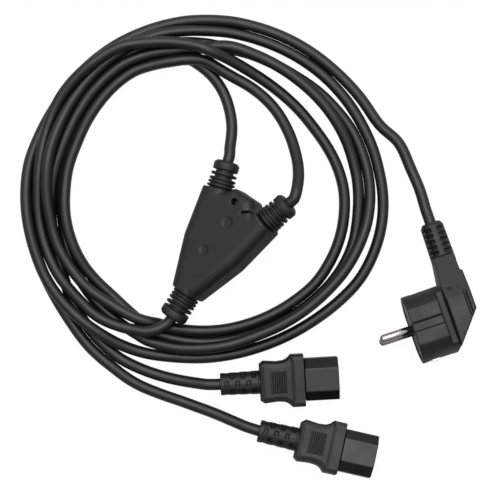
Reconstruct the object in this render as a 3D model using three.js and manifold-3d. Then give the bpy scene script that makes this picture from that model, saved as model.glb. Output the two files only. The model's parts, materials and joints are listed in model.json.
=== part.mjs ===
// A mains power cord splitter: one right-angle earthed plug, a Y-shaped moulded block and two
// three-pole connectors, with the cords between them wound into one loose coil on a table.
// The origin is under the middle of the block, on the table. +Z is up, and lengths are millimetres.
import * as THREE from 'three';
import { mergeVertices } from 'three/addons/utils/BufferGeometryUtils.js';
import Module from 'manifold-3d';

const wasm = await Module();
wasm.setup();

// Shared sizes
const seat = 0.3;                 // air between two pieces that lie against each other
const cordRadius = 3.25;          // sheath of every cord
const coreRadius = 0.9;           // one insulated conductor
const coreSpacing = 2.3;          // between the three conductors where the sheath ends
const boreRadius = cordRadius + seat;
const coreSides = 8;
const cordSides = 10;

// Y block
const blockThickness = 21;
const blockRounding = 5.5;        // round of its long edges
const blockFootY = -34.5;         // face that the supply cord leaves through
const blockFootHalf = 7.8;
const blockWaistY = -6.9;
const blockWaistHalf = 18.8;
const armSplay = 18.7;            // degrees off the block's own axis
const armFaceX = 17.9;            // middle of the face that an output cord leaves through
const armFaceY = 24.2;
const armHalf = 7.7;
const limbLength = 16;            // part of an arm or of the foot that ends square
const webHalf = 6.5;              // flat end of the web between the two arms
const webY = 30.7;
const coreHoleX = -1;             // hole that the moulding pin leaves in the web
const coreHoleY = 24.3;
const coreHoleRadius = 1.9;
const coreHoleDepth = 5;
const slitLength = 7.8;
const slitWidth = 1.1;
const slitDepth = 3.4;
const slitX = 9.3;
const slitY = 23.7;
const slitTurn = 38;
const stamps = [[-0.9, -7.6, 2.6], [2.3, 12.6, 3.2]]; // shallow round recesses: X, Y and radius
const stampDepth = 0.5;
const chamberHalfX = 18;          // hollow round the splices
const chamberFootHalfX = 13.4;
const chamberLowY = -11;
const chamberTurnY = 6;
const chamberHighY = 15.3;
const chamberHalfZ = 5.2;
const blockRoll = 26;             // the block lies on its left flank
const blockPitch = 5.5;
const blockHeading = 32.5;        // degrees right of +Y

// Strain reliefs of the block
const reliefLength = 16.5;
const reliefTailLength = 8.7;
const reliefTailRadius = 5.2;
const reliefRibRadius = 8;
const reliefCapRadius = { supply: 8.1, left_output: 7.3, right_output: 7.3 };
const reliefNeckRadius = 6.6;
const reliefGrooveRadius = 5.2;
const reliefRibWidth = 1.2;
const reliefCapLength = 5.2;
const reliefSides = 12;
const boreDepth = 25;
const sheathDepth = { supply: 23.2, left_output: 9.5, right_output: 9.5 };

// Splices inside the block
const spliceRadius = 2.3;
const spliceLength = 9;
const spliceSpacing = 8;
const spliceMiddleY = 1.5;
const spliceLift = 1.15;          // an output conductor above or below the middle of a splice
const trayThickness = 2;
const trayRib = 1.6;
const trayHalfX = 13;
const trayHalfY = 6;

// Mains plug: pins point to -X, the cord leaves to +Y, and the two pins are one above the other
const plugRadius = 19.6;
const plugFlat = 16.7;            // from the plug's axis to each flat side
const plugFaceDepth = 18;
const neckFlat = 12.5;            // the step behind the front is lower
const guideWidth = 5;
const guideDepth = 1.2;
const pinRadius = 2.4;
const pinLength = 19;
const pinSpacing = 19;
const pinTail = 9;
const bridgeRadius = 16.6;
const bridgeFlat = 14;
const bridgeThickness = 5.5;
const bridgeRecess = 0.6;         // behind the plug's front face
const earthPinRadius = 2.4;       // socket for the fixed earth pin of some wall outlets
const earthSocketY = -10;
const earthSocketWall = 0.8;
const strapWidth = 5;
const strapThickness = 0.8;
const clipReach = 4;              // front end of a side clip behind the front face
const clipHump = 1.1;
const handleBackX = 37;
const handleFrontX = 22.3;
const handleHalf = 17.4;
const handleChamfer = 1.2;
const handleTailY = -17.8;        // where its slanted tail starts at the front
const handleBackY = -0.3;
const handleLeanY = 19;           // from here on its front leans in to the boot
const handleLean = 1.6;
const handleTaperY = 6;           // from here on it gets thinner to the boot
const handleOverlap = 4;          // of the handle and the boot
const backStepDepth = 1.2;
const backStepY = 22.8;
const plugBootX = 30;             // axis of the cord in the handle
const plugBootRadius = 7.1;
const plugBootStart = 30;
const plugBootEnd = 54.3;
const slotWidth = 2;
const slotPitch = 3.3;
const slotCount = 5;
const slotFirst = 35.6;
const spineHalf = 1.7;
const slotCoreRadius = 4.7;
const panelX = 32.8;              // groove that marks off the grip panel
const panelGroove = 1.6;
const panelGrooveDepth = 1.4;
const panelLowY = -3.3;
const panelHighY = 24.3;
const plugPinHoleX = 26.1;
const plugPinHoleY = 14.8;
const plugPinHoleRadius = 1;
const plugRoll = 8.2;             // lies on one flat side with the cord end down
const plugHeading = 18.5;
const plugX = 103.45;
const plugY = -50.2;

// Connectors: +X is the way they plug in, x = 0 is where the cord enters
const hoodStart = 22.2;
const hoodEnd = 47.7;
const flangeStart = 40.1;
const flangeHalf = 14.7;
const flangeHalfThickness = 9.3;
const hoodBackHalf = 11.9;
const waistHalf = 11.2;
const hoodBootTip = 6.3;
const hoodBootRoot = 6.8;
const noseLength = 19.5;
const noseHalf = 12;
const noseHalfThickness = 8;
const noseChamfer = 5.5;
const rootInset = 1.3;
const rootLength = 8;
const poleSpacing = 7;            // from the middle to the live and the neutral pole
const poleOffset = 2;             // of each row from the connector's middle plane
const cavityWidth = 3.6;
const cavityHeight = 5.8;
const contactWall = 0.5;
const contactRecess = 2.5;
const contactTail = 3;
const gripRibs = 7;
const gripRibStart = 6.6;         // behind the back of the hood
const gripRibPitch = 1.3;
const gripRibHeight = 0.6;
const gripRibHalf = 6;
const pocketCount = 6;            // staggered pockets of the boot
const pocketFirst = 2.6;
const pocketPitch = 3.1;
const pocketWidth = 2.3;
const pocketHalf = 1.75;
const upperConnector = { x: -4.3, y: -81, heading: 3.2, roll: 0 };
const lowerConnector = { x: 17.6, y: -107.2, heading: -12.9, roll: -9 };

// Coil of the three cords
const coilX = -14.3;
const coilY = 29.4;
const coilInner = 79.6;
const coilOuter = 100.8;
const coilHeight = 12.8;
const coilRounding = 3;
const coilSides = 40;

const black = { color: 0x1b1b1c, roughness: 0.55, metalness: 0 };
const blackHard = { color: 0x161617, roughness: 0.4, metalness: 0 };
const nickel = { color: 0xb9b6ae, roughness: 0.25, metalness: 1 };
const brass = { color: 0xb08d4a, roughness: 0.35, metalness: 1 };
const greyPlastic = { color: 0x8d9092, roughness: 0.6, metalness: 0 };
const conductorColours = {
  live: { color: 0x6b3f26, roughness: 0.5, metalness: 0 },
  neutral: { color: 0x2a5fa8, roughness: 0.5, metalness: 0 },
  earth: { color: 0x5c9a3a, roughness: 0.5, metalness: 0 },
};

const radians = THREE.MathUtils.degToRad;

// A closed geometry as a solid that can be joined and cut.
function solid(geometry) {
  const bare = geometry.clone();
  bare.deleteAttribute('normal');
  bare.deleteAttribute('uv');
  const merged = mergeVertices(bare, 1e-4);
  const index = merged.index.array;
  const kept = [];
  for (let i = 0; i < index.length; i += 3) {
    const [a, b, c] = [index[i], index[i + 1], index[i + 2]];
    if (a !== b && b !== c && c !== a) kept.push(a, b, c);
  }
  return new wasm.Manifold(new wasm.Mesh({
    numProp: 3,
    vertProperties: new Float32Array(merged.attributes.position.array),
    triVerts: new Uint32Array(kept),
  }));
}

function geometryOf(manifold) {
  const mesh = manifold.getMesh();
  const geometry = new THREE.BufferGeometry();
  geometry.setAttribute('position', new THREE.BufferAttribute(mesh.vertProperties, 3));
  geometry.setIndex(new THREE.BufferAttribute(mesh.triVerts, 1));
  return geometry;
}

const join = (first, ...rest) => rest.reduce((sum, next) => sum.add(next), first);
const cut = (first, ...rest) => rest.reduce((left, next) => left.subtract(next), first);

function shapeOf(points) {
  return new THREE.Shape(points.map(([x, y]) => new THREE.Vector2(x, y)));
}

// An outline in X and Y, as thick along Z as depth, with z = 0 in its middle.
function slab(points, depth) {
  const geometry = new THREE.ExtrudeGeometry(shapeOf(points), { depth, bevelEnabled: false });
  return geometry.translate(0, 0, -depth / 2);
}

// The same with its edges rounded off inside the outline.
function pillow(points, depth, rounding, segments) {
  const geometry = new THREE.ExtrudeGeometry(shapeOf(points), {
    depth: depth - 2 * rounding,
    bevelEnabled: true,
    bevelThickness: rounding,
    bevelSize: rounding,
    bevelOffset: -rounding,
    bevelSegments: segments,
  });
  return geometry.translate(0, 0, rounding - depth / 2);
}

function box(x0, x1, y0, y1, z0, z1) {
  const geometry = new THREE.BoxGeometry(x1 - x0, y1 - y0, z1 - z0);
  return geometry.translate((x0 + x1) / 2, (y0 + y1) / 2, (z0 + z1) / 2);
}

// A round bar along +Y from y0 to y1 that narrows or widens between its two radii.
function bar(y0, y1, radius0, radius1, sides) {
  const geometry = new THREE.CylinderGeometry(radius1, radius0, y1 - y0, sides);
  return geometry.translate(0, (y0 + y1) / 2, 0);
}

function circlePoints(radius, sides, x = 0, y = 0) {
  return Array.from({ length: sides }, (_, i) => {
    const turn = (2 * Math.PI * i) / sides;
    return [x + radius * Math.cos(turn), y + radius * Math.sin(turn)];
  });
}

// A round tube that follows points; its two end faces are square to it.
function tube(points, radius, sides, steps) {
  const path = new THREE.CatmullRomCurve3(points.map((p) => new THREE.Vector3(...p)), false, 'centripetal');
  return new THREE.ExtrudeGeometry(shapeOf(circlePoints(radius, sides)), {
    steps,
    extrudePath: path,
    bevelEnabled: false,
  });
}

// Adds a named piece made of a geometry or a solid to a group.
function addPiece(group, name, form, finish) {
  const manifold = form instanceof THREE.BufferGeometry ? solid(form) : form;
  const mesh = new THREE.Mesh(geometryOf(manifold), new THREE.MeshStandardMaterial(finish));
  mesh.name = name;
  group.add(mesh);
  return mesh;
}

// Stands a turned group on the table.
function seatOnTable(group) {
  group.updateMatrixWorld(true);
  const reach = new THREE.Box3().setFromObject(group, true);
  group.position.z -= reach.min.z;
  group.updateMatrixWorld(true);
}

// The frame of one arm of the block: +Y runs out of its end face.
function armFrame(side) {
  const frame = new THREE.Matrix4().makeRotationZ(radians(-side * armSplay));
  return frame.setPosition(side * armFaceX, armFaceY, 0);
}

// The frame of the foot of the block: +Y runs out of its end face.
function footFrame() {
  return new THREE.Matrix4().makeRotationZ(Math.PI).setPosition(0, blockFootY, 0);
}

const exitFrames = { supply: footFrame(), left_output: armFrame(-1), right_output: armFrame(1) };

// A long rounded bar that ends square at the face y = 0 of its frame.
function limb(half, frame) {
  const past = blockRounding + 1;
  const outline = [[-half, -limbLength], [half, -limbLength], [half, past], [-half, past]];
  const whole = solid(pillow(outline, blockThickness, Math.min(blockRounding, half - 0.2), 4));
  const squared = whole.subtract(solid(box(-half - 1, half + 1, 0, past + 1, -blockThickness, blockThickness)));
  return solid(geometryOf(squared).applyMatrix4(frame));
}

function blockForm() {
  const armCorner = (x) => {
    const corner = new THREE.Vector3(x, 0, 0).applyMatrix4(exitFrames.right_output);
    return [corner.x, corner.y];
  };
  const side = [
    [blockFootHalf, blockFootY],
    [blockWaistHalf, blockWaistY],
    armCorner(armHalf),
    armCorner(-armHalf),
    [webHalf, webY],
  ];
  const mirrored = side.map(([x, y]) => [-x, y]).reverse();
  const trunk = solid(pillow([...side, ...mirrored], blockThickness, blockRounding, 4));
  const foot = limb(blockFootHalf, exitFrames.supply);
  const arms = ['left_output', 'right_output'].map((cord) => limb(armHalf, exitFrames[cord]));
  const whole = join(trunk, foot, ...arms);

  const top = blockThickness / 2;
  const turnedBar = (radius, sides) => bar(-1, 1, radius, radius, sides).rotateX(Math.PI / 2);
  const hole = turnedBar(coreHoleRadius, 16).scale(1, 1, coreHoleDepth).translate(coreHoleX, coreHoleY, top);
  const marks = stamps.map(([x, y, radius]) => turnedBar(radius, 20).scale(1, 1, stampDepth).translate(x, y, top));
  const slit = box(-slitLength / 2, slitLength / 2, -slitWidth / 2, slitWidth / 2, -slitDepth, slitDepth)
    .rotateZ(radians(slitTurn)).translate(slitX, slitY, top);
  const chamber = slab([
    [-chamberFootHalfX, chamberLowY], [chamberFootHalfX, chamberLowY],
    [chamberHalfX, chamberTurnY], [chamberHalfX, chamberHighY],
    [-chamberHalfX, chamberHighY], [-chamberHalfX, chamberTurnY],
  ], 2 * chamberHalfZ);
  const ways = Object.values(exitFrames).flatMap((frame) => [
    bar(-reliefTailLength - seat, 1, reliefTailRadius + seat, reliefTailRadius + seat, reliefSides)
      .applyMatrix4(frame),
    bar(-boreDepth, 0, boreRadius, boreRadius, cordSides).applyMatrix4(frame),
  ]);
  return cut(whole, ...[hole, ...marks, slit, chamber, ...ways].map(solid));
}

// The ribbed sleeve that keeps a cord from kinking where it leaves the block.
function reliefForm(capRadius) {
  const profile = [[boreRadius, -reliefTailLength], [reliefTailRadius, -reliefTailLength]];
  profile.push([reliefTailRadius, seat], [reliefNeckRadius, seat]);
  let y = seat + 0.8;
  const ribs = [[reliefNeckRadius, 0.9], [reliefNeckRadius, 0.9], [reliefGrooveRadius, 1.7], [reliefGrooveRadius, 1.7]];
  let depth = reliefNeckRadius;
  const capStart = reliefLength - reliefCapLength;
  for (const [after, groove] of ribs) {
    const radius = reliefRibRadius + (capRadius - reliefRibRadius) * (y / capStart);
    profile.push([depth, y], [radius, y], [radius, y + reliefRibWidth]);
    profile.push([after, y + reliefRibWidth]);
    depth = after;
    y += reliefRibWidth + groove;
  }
  profile.push([depth, capStart], [capRadius, capStart], [capRadius + 0.1, reliefLength - 1.4]);
  profile.push([capRadius - 1.3, reliefLength], [boreRadius, reliefLength]);
  profile.push([boreRadius, -reliefTailLength]);
  return new THREE.LatheGeometry(profile.map(([x, z]) => new THREE.Vector2(x, z)), reliefSides);
}

// Where the three conductors leave a sheath inside the block, in the block's own frame.
function coreStarts(cord) {
  const y = -sheathDepth[cord] - seat;
  return [-1, 0, 1].map((lane) => new THREE.Vector3(lane * coreSpacing, y, 0).applyMatrix4(exitFrames[cord]));
}

function addSplices(group) {
  const floor = -chamberHalfZ + seat;
  const [near, far] = [spliceMiddleY - trayHalfY, spliceMiddleY + trayHalfY];
  const ribTop = floor + trayThickness + trayRib;
  const ribs = [-0.5, 0.5].map((lane) => {
    const x = lane * spliceSpacing;
    return solid(box(x - 0.6, x + 0.6, near, far, floor + 1, ribTop));
  });
  const tray = join(solid(box(-trayHalfX, trayHalfX, near, far, floor, floor + trayThickness)), ...ribs);
  addPiece(group, 'splice_tray', tray, greyPlastic);
  const spliceZ = floor + trayThickness + seat + spliceRadius;
  const low = spliceMiddleY - spliceLength / 2;
  const high = spliceMiddleY + spliceLength / 2;
  ['live', 'earth', 'neutral'].forEach((pole, lane) => {
    const x = (lane - 1) * spliceSpacing;
    const sleeve = bar(low, high, spliceRadius, spliceRadius, 10).translate(x, 0, spliceZ);
    addPiece(group, `${pole}_splice`, sleeve, brass);
    const supply = coreStarts('supply')[2 - lane];
    addPiece(group, `supply_${pole}_core`, tube([
      [supply.x, supply.y, 0],
      [supply.x, supply.y + 1.2, 0],
      [x, low - 1.8, spliceZ],
      [x, low - seat, spliceZ],
    ], coreRadius, coreSides, 6), conductorColours[pole]);
    for (const [cord, side] of [['left_output', -1], ['right_output', 1]]) {
      const start = coreStarts(cord)[lane];
      const inward = new THREE.Vector3(-side * Math.sin(radians(armSplay)), -Math.cos(radians(armSplay)), 0);
      const clear = start.clone().addScaledVector(inward, 1.3);
      const z = spliceZ - side * spliceLift;
      const arch = -side * (pole === 'earth' ? 3.3 : 1.2);
      addPiece(group, `${cord}_${pole}_core`, tube([
        start.toArray(),
        clear.toArray(),
        [clear.x - side * 1.2, clear.y - 1.2, arch],
        [x, high + 1.6, z],
        [x, high + seat, z],
      ], coreRadius, coreSides, 8), conductorColours[pole]);
    }
  });
}

const blockGroup = new THREE.Group();
addPiece(blockGroup, 'splitter_body', blockForm(), black);
for (const [cord, frame] of Object.entries(exitFrames)) {
  addPiece(blockGroup, `${cord}_strain_relief`, reliefForm(reliefCapRadius[cord]).applyMatrix4(frame), black);
  const sheath = bar(-sheathDepth[cord], reliefLength - seat, cordRadius, cordRadius, cordSides);
  addPiece(blockGroup, `${cord}_sheath_in_block`, sheath.applyMatrix4(frame), black);
}
addSplices(blockGroup);

// The block lies rolled on its left flank, with the middle of its own box over the origin.
blockGroup.rotation.set(radians(blockPitch), radians(-blockRoll), radians(-blockHeading), 'ZXY');
seatOnTable(blockGroup);
const blockBox = new THREE.Box3().setFromObject(blockGroup, true);
blockGroup.position.x -= (blockBox.min.x + blockBox.max.x) / 2;
blockGroup.position.y -= (blockBox.min.y + blockBox.max.y) / 2;

// An outline given as Y and Z becomes a bar that runs along X from x0 to x1.
function alongX(points, x0, x1) {
  const turn = new THREE.Matrix4().set(0, 0, 1, 0, 1, 0, 0, 0, 0, 1, 0, 0, 0, 0, 0, 1);
  return slab(points, x1 - x0).applyMatrix4(turn).translate((x0 + x1) / 2, 0, 0);
}

// A round disc along X with two flat sides at z = flat and z = -flat.
function flattedDisc(radius, flat, x0, x1, sides) {
  const round = solid(alongX(circlePoints(radius, sides), x0, x1));
  return round.intersect(solid(box(x0 - 1, x1 + 1, -radius - 1, radius + 1, -flat, flat)));
}

// An outline in X and Y with its top and bottom edges slanted off.
function bevelled(points, halfDepth, inset, drop) {
  const depth = 2 * (halfDepth - drop);
  const geometry = new THREE.ExtrudeGeometry(shapeOf(points), {
    depth, bevelEnabled: true, bevelThickness: drop, bevelSize: inset, bevelOffset: -inset, bevelSegments: 3,
  });
  return geometry.translate(0, 0, -depth / 2);
}

const bridgeBack = bridgeRecess + bridgeThickness;
const strapBack = bridgeBack + 10.9;
const clipFace = plugRadius - 0.2;

// The earth strap runs across the plug and turns forward along both of its sides.
function strapOutline(grow) {
  const front = clipReach - grow;
  const inner = clipFace - strapThickness - grow;
  const outer = clipFace + grow;
  const hump = [[front + 2.5, clipHump], [front + 4.5, clipHump], [front + 7, 0]];
  const side = [
    [strapBack + grow, 0],
    [strapBack + grow, outer],
    ...hump.reverse().map(([x, lift]) => [x, outer + lift]),
    [front, outer],
    [front, inner],
    [strapBack - strapThickness - grow, inner],
    [strapBack - strapThickness - grow, 0],
  ];
  const low = side.slice(1, -1).map(([x, y]) => [x, -y]).reverse();
  return [...side.slice(1, -1), ...low];
}

function plugForm() {
  const handleEndY = plugBootStart + handleOverlap;
  const front = flattedDisc(plugRadius, plugFlat, 0, plugFaceDepth, 40);
  const neck = flattedDisc(plugRadius, neckFlat, plugFaceDepth - 1, handleFrontX + 2, 40);
  const handle = solid(bevelled([
    [handleFrontX, handleTailY],
    [handleBackX, handleBackY],
    [handleBackX, handleEndY],
    [handleFrontX + handleLean, handleEndY],
    [handleFrontX, handleLeanY],
  ], handleHalf, handleChamfer, handleChamfer));
  const backStep = box(handleBackX - backStepDepth, handleBackX + 1, backStepY, handleEndY + 1, -plugRadius, plugRadius);
  const slant = (handleBackY - handleTailY) / (handleBackX - handleFrontX);
  const tailX = handleFrontX - (handleTailY + plugRadius) / slant;
  const tail = slab([[tailX, -plugRadius], [tailX, -2 * plugRadius], [handleBackX, handleBackY]], 2 * plugRadius);
  const thin = plugBootRadius + 1.4;
  const thick = handleHalf + 1;
  const taper = solid(alongX([
    [-2 * plugRadius, -thick], [handleTaperY, -thick], [handleEndY + 0.5, -thin],
    [handleEndY + 0.5, thin], [handleTaperY, thick], [-2 * plugRadius, thick],
  ], 0, 2 * handleBackX));
  const boot = join(
    solid(bar(plugBootStart, plugBootEnd - 2, plugBootRadius, plugBootRadius - 0.5, 20)
      .translate(plugBootX, 0, 0)),
    solid(bar(plugBootEnd - 2.1, plugBootEnd, plugBootRadius - 0.5, plugBootRadius - 1.7, 20)
      .translate(plugBootX, 0, 0)),
  );
  const whole = join(front, cut(neck, solid(tail)), cut(handle.intersect(taper), solid(backStep)), boot);

  const cuts = [];
  for (const up of [-1, 1]) {
    const groove = box(-1, plugFaceDepth + 1, -guideWidth / 2, guideWidth / 2, -guideDepth, guideDepth);
    cuts.push(solid(groove.translate(0, 0, up * plugFlat)));
    const seam = box(panelX, panelX + panelGroove, panelLowY, panelHighY, -panelGrooveDepth, panelGrooveDepth);
    cuts.push(solid(seam.translate(0, 0, up * handleHalf)));
  }
  cuts.push(solid(bar(-1, 1, plugPinHoleRadius, plugPinHoleRadius, 10).rotateX(Math.PI / 2)
    .scale(1, 1, 3).translate(plugPinHoleX, plugPinHoleY, handleHalf)));
  const core = solid(bar(plugBootStart, plugBootEnd, slotCoreRadius, slotCoreRadius, 16).translate(plugBootX, 0, 0));
  for (let i = 0; i < slotCount; i += 1) {
    const y = slotFirst + i * slotPitch;
    for (const sx of [-1, 1]) {
      for (const sz of [-1, 1]) {
        const [x0, x1] = [Math.min(sx * spineHalf, sx * 9), Math.max(sx * spineHalf, sx * 9)];
        const [z0, z1] = [Math.min(sz * 0.8, sz * 9), Math.max(sz * 0.8, sz * 9)];
        const pocket = box(plugBootX + x0, plugBootX + x1, y, y + slotWidth, z0, z1);
        cuts.push(solid(pocket).subtract(core));
      }
    }
  }
  const recess = flattedDisc(bridgeRadius + seat, bridgeFlat + seat, -1, bridgeBack + seat, 32);
  const chamber = box(bridgeBack, strapBack + 1, -13.4, 10, -12, 12);
  const link = box(strapBack, plugBootX + 3, -3, 12, -6, 6);
  const bore = bar(11, plugBootEnd + 1, boreRadius, boreRadius, cordSides).translate(plugBootX, 0, 0);
  const strapWay = slab(strapOutline(seat), strapWidth + 2 * seat);
  return cut(whole, recess, ...cuts, ...[chamber, link, bore, strapWay].map(solid));
}

function addPlug(group) {
  addPiece(group, 'plug_body', plugForm(), black);
  const holeRadius = pinRadius + seat;
  const round = (radius, y, z, x0, x1, sides = 16) => alongX(circlePoints(radius, sides, y, z), x0, x1);
  const bridge = cut(
    flattedDisc(bridgeRadius, bridgeFlat, bridgeRecess, bridgeBack, 32),
    ...[-1, 1].map((up) => solid(round(holeRadius, 0, up * pinSpacing / 2, -1, bridgeBack + 1))),
    solid(round(earthPinRadius + seat, earthSocketY, 0, -1, bridgeBack + 1)),
  );
  addPiece(group, 'pin_bridge', bridge, blackHard);
  const tip = -pinLength;
  const nose = [[0, tip], [1.3, tip + 0.3], [2.1, tip + 1.1], [pinRadius, tip + 2.4]];
  const pinProfile = [...nose, [pinRadius, pinTail], [0, pinTail]];
  ['live', 'neutral'].forEach((pole, i) => {
    const z = (i === 0 ? 1 : -1) * pinSpacing / 2;
    const pin = new THREE.LatheGeometry(pinProfile.map(([x, y]) => new THREE.Vector2(x, y)), 16);
    addPiece(group, `${pole}_pin`, pin.rotateZ(-Math.PI / 2).translate(0, 0, z), nickel);
  });
  addPiece(group, 'earth_strap', slab(strapOutline(0), strapWidth), nickel);
  const socketStart = bridgeBack + seat;
  const socketEnd = strapBack - strapThickness - seat;
  const socket = solid(round(earthPinRadius + earthSocketWall, earthSocketY, 0, socketStart, socketEnd))
    .subtract(solid(round(earthPinRadius, earthSocketY, 0, socketStart - 1, socketEnd - 1)));
  addPiece(group, 'earth_socket', socket, nickel);
  const sheathY = 12;
  const sheath = bar(sheathY, plugBootEnd - seat, cordRadius, cordRadius, cordSides);
  addPiece(group, 'supply_sheath_in_plug', sheath.translate(plugBootX, 0, 0), black);
  const lanes = { live: 1, earth: 0, neutral: -1 };
  const leave = { live: [0, coreSpacing], earth: [-coreSpacing * 0.9, 0], neutral: [0, -coreSpacing] };
  for (const [pole, up] of Object.entries(lanes)) {
    const [dx, dz] = leave[pole];
    const x = plugBootX + dx;
    const path = [[x, sheathY - seat, dz], [x, sheathY - 1.6, dz]];
    if (pole === 'earth') {
      path.push([x - 3.5, 5.5, 0], [strapBack + 3, 4.5, 0], [strapBack + seat, 4.5, 0]);
    } else {
      path.push([x - 2.5, 4, up * 2.4], [strapBack + 2, 1.2, up * 3.4], [strapBack - 2, 1, up * 5.6]);
      path.push([pinTail + 2, 0, up * pinSpacing / 2], [pinTail + seat, 0, up * pinSpacing / 2]);
    }
    addPiece(group, `plug_${pole}_core`, tube(path, coreRadius, coreSides, 12), conductorColours[pole]);
  }
}

function noseOutline(shrink) {
  const [y, z] = [noseHalf - shrink, noseHalfThickness - shrink];
  const corner = noseChamfer - shrink * 0.6;
  return [[-y, -z], [y, -z], [y, z - corner], [y - corner, z], [-y + corner, z], [-y, z - corner]];
}

const poles = { live: [poleSpacing, -poleOffset], neutral: [-poleSpacing, -poleOffset], earth: [0, poleOffset] };

function hoodForm() {
  const sides = [
    [hoodStart, hoodBackHalf - 1.7], [hoodStart + 2.4, hoodBackHalf], [hoodStart + 9.8, waistHalf],
    [flangeStart - 4, waistHalf + 0.4], [flangeStart - 1.9, waistHalf + 1.5], [flangeStart, flangeHalf - 0.1],
    [flangeStart + 5, flangeHalf - 0.1],
  ];
  const back = solid(pillow([
    ...sides.map(([x, y]) => [x, -y]),
    ...sides.reverse(),
  ], 2 * noseHalfThickness + 0.6, 3, 2));
  const flangeOutline = [
    [flangeStart, -flangeHalf], [hoodEnd + 3, -flangeHalf], [hoodEnd + 3, flangeHalf], [flangeStart, flangeHalf],
  ];
  const squared = solid(box(flangeStart - 1, hoodEnd, -20, 20, -20, 20));
  const flange = solid(pillow(flangeOutline, 2 * flangeHalfThickness, 2.4, 2)).intersect(squared);
  const boot = bar(0, hoodStart + 2, hoodBootTip, hoodBootRoot, 20).rotateZ(-Math.PI / 2);
  const ribs = [];
  for (let i = 0; i < gripRibs; i += 1) {
    const x = hoodStart + gripRibStart + i * gripRibPitch;
    const top = noseHalfThickness + 0.3;
    ribs.push(box(x, x + 0.7, -gripRibHalf, gripRibHalf, top - 1, top + gripRibHeight));
    ribs.push(box(x, x + 0.7, -gripRibHalf, gripRibHalf, -top - gripRibHeight, 1 - top));
  }
  const whole = join(back, flange, solid(boot), ...ribs.map(solid));
  const core = solid(bar(-1, hoodStart, slotCoreRadius, slotCoreRadius, 16).rotateZ(-Math.PI / 2));
  const pockets = [];
  for (let i = 0; i < pocketCount; i += 1) {
    const x = pocketFirst + i * pocketPitch;
    for (let quarter = 0; quarter < 4; quarter += 1) {
      const turn = quarter * Math.PI / 2 + (i % 2) * Math.PI / 4;
      const pocket = box(x, x + pocketWidth, -pocketHalf, pocketHalf, 0, 9).rotateX(turn);
      pockets.push(solid(pocket).subtract(core));
    }
  }
  const socket = alongX(noseOutline(rootInset - seat), hoodEnd - rootLength - seat, hoodEnd + 1);
  const chamber = box(hoodStart + 8, hoodEnd - rootLength, -8.8, 8.8, -5, 5);
  const bore = bar(-1, hoodStart + 9, boreRadius, boreRadius, cordSides).rotateZ(-Math.PI / 2);
  return cut(whole, ...pockets, ...[socket, chamber, bore].map(solid));
}

function addConnector(group, name) {
  addPiece(group, `${name}_hood`, hoodForm(), black);
  const tip = hoodEnd + noseLength;
  const root = hoodEnd - rootLength;
  const nose = join(
    solid(alongX(noseOutline(0), hoodEnd + seat, tip)),
    solid(alongX(noseOutline(rootInset), root, hoodEnd + 1)),
  );
  const ways = Object.values(poles).map(([y, z]) => {
    const [w, h] = [cavityWidth / 2, cavityHeight / 2];
    return solid(box(root - 1, tip + 1, y - w, y + w, z - h, z + h));
  });
  addPiece(group, `${name}_nose`, cut(nose, ...ways), blackHard);
  for (const [pole, [y, z]] of Object.entries(poles)) {
    const [w, h] = [cavityWidth / 2 - seat, cavityHeight / 2 - seat];
    const sleeve = solid(box(root + contactTail, tip - contactRecess, y - w, y + w, z - h, z + h));
    const hollow = box(
      root + contactTail + 1, tip, y - w + contactWall, y + w - contactWall, z - h + contactWall, z + h - contactWall,
    );
    const tail = box(root + 1, root + contactTail + 0.5, y - 0.9, y + 0.9, z - 0.9, z + 0.9);
    addPiece(group, `${name}_${pole}_contact`, join(cut(sleeve, solid(hollow)), solid(tail)), brass);
  }
  const sheathX = hoodStart + 7.5;
  const sheath = bar(seat, sheathX, cordRadius, cordRadius, cordSides).rotateZ(-Math.PI / 2);
  addPiece(group, `${name}_sheath_end`, sheath, black);
  const leave = { live: [coreSpacing, 0], neutral: [-coreSpacing, 0], earth: [0, coreSpacing * 0.9] };
  for (const [pole, [y, z]] of Object.entries(poles)) {
    const [dy, dz] = leave[pole];
    const start = sheathX + seat;
    const path = [[start, dy, dz], [start + 1.4, dy, dz], [root - 2, y, z], [root + 1 - seat, y, z]];
    addPiece(group, `${name}_${pole}_core`, tube(path, coreRadius, coreSides, 8), conductorColours[pole]);
  }
}

const plugGroup = new THREE.Group();
addPlug(plugGroup);
plugGroup.rotation.set(radians(-plugRoll), 0, radians(plugHeading), 'ZYX');
plugGroup.position.set(plugX, plugY, 0);
seatOnTable(plugGroup);

function placeConnector(name, place) {
  const group = new THREE.Group();
  addConnector(group, name);
  group.rotation.set(radians(place.roll), 0, radians(place.heading), 'ZYX');
  group.position.set(place.x, place.y, 0);
  seatOnTable(group);
  return group;
}

const upperGroup = placeConnector('upper_connector', upperConnector);
const lowerGroup = placeConnector('lower_connector', lowerConnector);

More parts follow.
